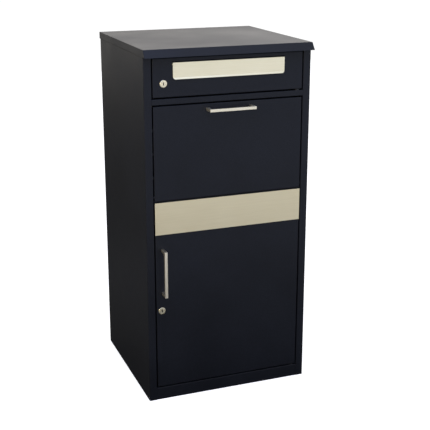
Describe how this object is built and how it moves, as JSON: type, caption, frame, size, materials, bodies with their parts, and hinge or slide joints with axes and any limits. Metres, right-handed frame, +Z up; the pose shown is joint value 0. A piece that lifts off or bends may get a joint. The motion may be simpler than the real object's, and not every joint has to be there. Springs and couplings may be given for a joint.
{
  "type": "parcel drop box",
  "caption": "Free-standing parcel drop box of folded sheet steel with a letter door and flap, a tilting parcel hopper and a locked collection door.",
  "frame": {"origin": "centre of the cabinet's base, on the floor", "axes": "+Z up, the front with its doors faces -Y, +X to the viewer's right when facing the front"},
  "size_m": [0.4934, 0.4837, 1.02],
  "materials": {
    "coat": "fine textured blue-black powder coat",
    "stainless": "brushed stainless steel, grain along the long side",
    "satin_bar": "satin stainless bar",
    "nickel": "bright nickel plate",
    "zinc": "zinc-plated steel",
    "rubber": "black rubber",
    "nylon": "natural nylon"
  },
  "bodies": {
    "cabinet": {"side_panel_left": "coat", "side_panel_right": "coat", "back_panel": "coat", "base_pan": "coat", "mid_rail": "coat", "cross_rail": "coat", "top_rail": "coat", "lid": "coat", "lid_nuts": "zinc", "letter_shelf": "coat", "anti_fishing_baffle": "coat", "baffle_rivets": "zinc", "back_panel_rivets": "zinc", "hopper_stops": "coat", "hopper_stop_buffers": "rubber", "door_bumpers": "rubber", "parcel_flap_pins": "zinc", "collection_door_pins": "zinc", "collection_door_washer": "nylon", "letter_door_pins": "zinc", "letter_door_washer": "nylon"},
    "letter_door": {"letter_door": "coat", "letter_flap_rod": "zinc", "letter_lock_housing": "nickel", "letter_lock_nut": "zinc"},
    "letter_flap": {"letter_flap": "stainless"},
    "letter_lock_core": {"letter_lock_plug": "nickel", "letter_lock_cam": "zinc", "letter_lock_cam_screw": "zinc"},
    "parcel_hopper": {"parcel_flap": "coat", "hopper_side_right": "coat", "hopper_side_left": "coat", "hopper_tray": "coat", "hopper_rivets": "zinc", "hopper_stop_studs": "zinc", "parcel_flap_washers": "nylon", "parcel_handle": "satin_bar", "parcel_handle_screws": "zinc"},
    "collection_door": {"collection_door": "coat", "door_stiffener": "coat", "trim_strip": "stainless", "trim_nuts": "zinc", "door_handle": "satin_bar", "door_handle_screws": "zinc", "door_lock_housing": "nickel", "door_lock_nut": "zinc"},
    "door_lock_core": {"door_lock_plug": "nickel", "door_lock_cam": "zinc", "door_lock_cam_screw": "zinc"}
  },
  "joints": [
    {"name": "letter_door_hinge", "type": "hinge", "parent": "cabinet", "child": "letter_door", "pos_m": [0.2075, -0.217, 0.94275], "axis": [0, 0, 1], "range_deg": [0, 105]},
    {"name": "letter_flap_hinge", "type": "hinge", "parent": "letter_door", "child": "letter_flap", "pos_m": [0, -0.22, 0.9775], "axis": [-1, 0, 0], "range_deg": [0, 70]},
    {"name": "letter_lock_turn", "type": "hinge", "parent": "letter_door", "child": "letter_lock_core", "pos_m": [-0.19, -0.225, 0.9275], "axis": [0, -1, 0], "range_deg": [0, 90]},
    {"name": "parcel_flap_tilt", "type": "hinge", "parent": "cabinet", "child": "parcel_hopper", "pos_m": [0, -0.2205, 0.614], "axis": [1, 0, 0], "range_deg": [0, 42]},
    {"name": "collection_door_hinge", "type": "hinge", "parent": "cabinet", "child": "collection_door", "pos_m": [0.2075, -0.217, 0.3195], "axis": [0, 0, 1], "range_deg": [0, 105]},
    {"name": "door_lock_turn", "type": "hinge", "parent": "collection_door", "child": "door_lock_core", "pos_m": [-0.204, -0.225, 0.278], "axis": [0, -1, 0], "range_deg": [0, 90]}
  ]
}
